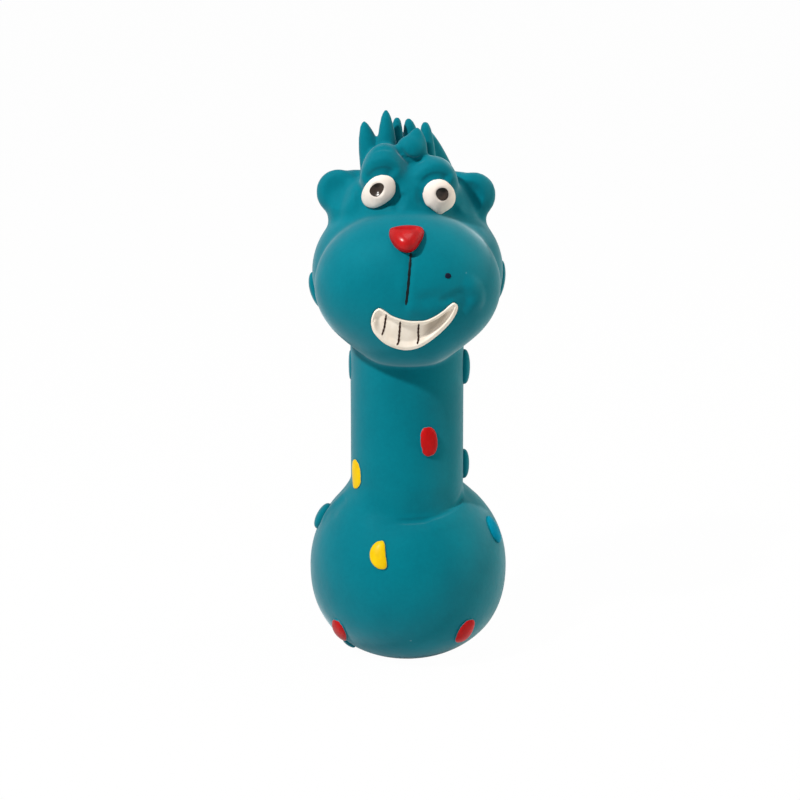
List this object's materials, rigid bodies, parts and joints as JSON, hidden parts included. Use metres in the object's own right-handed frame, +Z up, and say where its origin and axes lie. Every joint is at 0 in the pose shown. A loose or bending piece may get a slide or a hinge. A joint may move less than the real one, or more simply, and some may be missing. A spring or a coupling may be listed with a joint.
{
  "type": "squeaky dog toy",
  "caption": "Hollow latex squeaky toy: a grinning cartoon animal head on a soft neck and a round belly, with raised painted spots and a reed squeaker in the base.",
  "frame": {"origin": "middle of the base, on the ground", "axes": "+Z up along the neck, -Y out of the face, +X to the right as the face is looked at"},
  "size_m": [0.062, 0.0649, 0.1694],
  "materials": {
    "latex_teal": "matte",
    "paint_red": "semi-gloss",
    "paint_yellow": "semi-gloss",
    "paint_blue": "semi-gloss",
    "paint_white": "satin",
    "paint_black": "gloss",
    "paint_cream": "satin",
    "paint_brown": "satin",
    "squeaker_plastic": "satin",
    "reed_plastic": "satin"
  },
  "bodies": {
    "belly": {"latex_belly": "latex_teal", "spot_belly_yellow_front": "paint_yellow", "spot_belly_blue_right": "paint_blue", "spot_belly_teal_left": "latex_teal", "spot_belly_red_low_left": "paint_red", "spot_belly_red_low_right": "paint_red", "spot_belly_teal_low_left": "latex_teal", "spot_belly_blue_back": "paint_blue", "spot_belly_red_back_left": "paint_red", "spot_belly_yellow_back_right": "paint_yellow", "spot_belly_yellow_back_low": "paint_yellow", "squeaker_housing": "squeaker_plastic", "squeaker_cap": "squeaker_plastic", "reed_shallot": "squeaker_plastic", "reed_wedge": "squeaker_plastic"},
    "neck_root": {"latex_neck_root": "latex_teal", "spot_neck_yellow_left": "paint_yellow", "spot_neck_teal_right": "latex_teal", "spot_neck_blue_back": "paint_blue"},
    "neck": {"latex_neck": "latex_teal", "spot_neck_red_front": "paint_red", "spot_neck_red_back": "paint_red"},
    "head": {"latex_head": "latex_teal", "latex_neck_top": "latex_teal", "eye_white_left": "paint_white", "pupil_left": "paint_black", "eye_white_right": "paint_white", "pupil_right": "paint_black", "nose": "paint_red", "philtrum": "paint_brown", "mole": "paint_brown", "teeth": "paint_cream", "tooth_line_left": "paint_brown", "tooth_line_middle": "paint_brown", "tooth_line_right": "paint_brown", "spot_neck_teal_upper_right": "latex_teal", "spot_neck_yellow_upper_back": "paint_yellow", "spot_neck_teal_upper_left": "latex_teal", "spot_cheek_left": "latex_teal", "spot_cheek_right": "latex_teal", "spot_head_red_back": "paint_red", "spot_head_blue_back": "paint_blue"},
    "reed": {"squeaker_reed": "reed_plastic"}
  },
  "joints": [
    {"name": "belly_squeeze", "type": "slide", "parent": "belly", "child": "neck_root", "axis": [0, 0, 1], "range_m": [-0.014, 0], "stiffness_N_per_m": 1500},
    {"name": "neck_sway", "type": "hinge", "parent": "neck_root", "child": "neck", "pos_m": [0, 0, 0.06865], "axis": [0, 1, 0], "range_deg": [-15, 15], "stiffness_Nm_per_rad": 0.8},
    {"name": "head_nod", "type": "hinge", "parent": "neck", "child": "head", "pos_m": [0, 0, 0.08465], "axis": [1, 0, 0], "range_deg": [-15, 20], "stiffness_Nm_per_rad": 0.8},
    {"name": "reed_flex", "type": "hinge", "parent": "belly", "child": "reed", "pos_m": [0, 0, 0.0056], "axis": [1, 0, 0], "range_deg": [-4, 0]}
  ],
  "couplings": [
    {"joint": "reed_flex", "follows": "belly_squeeze", "rad_per_m": 4.98}
  ]
}
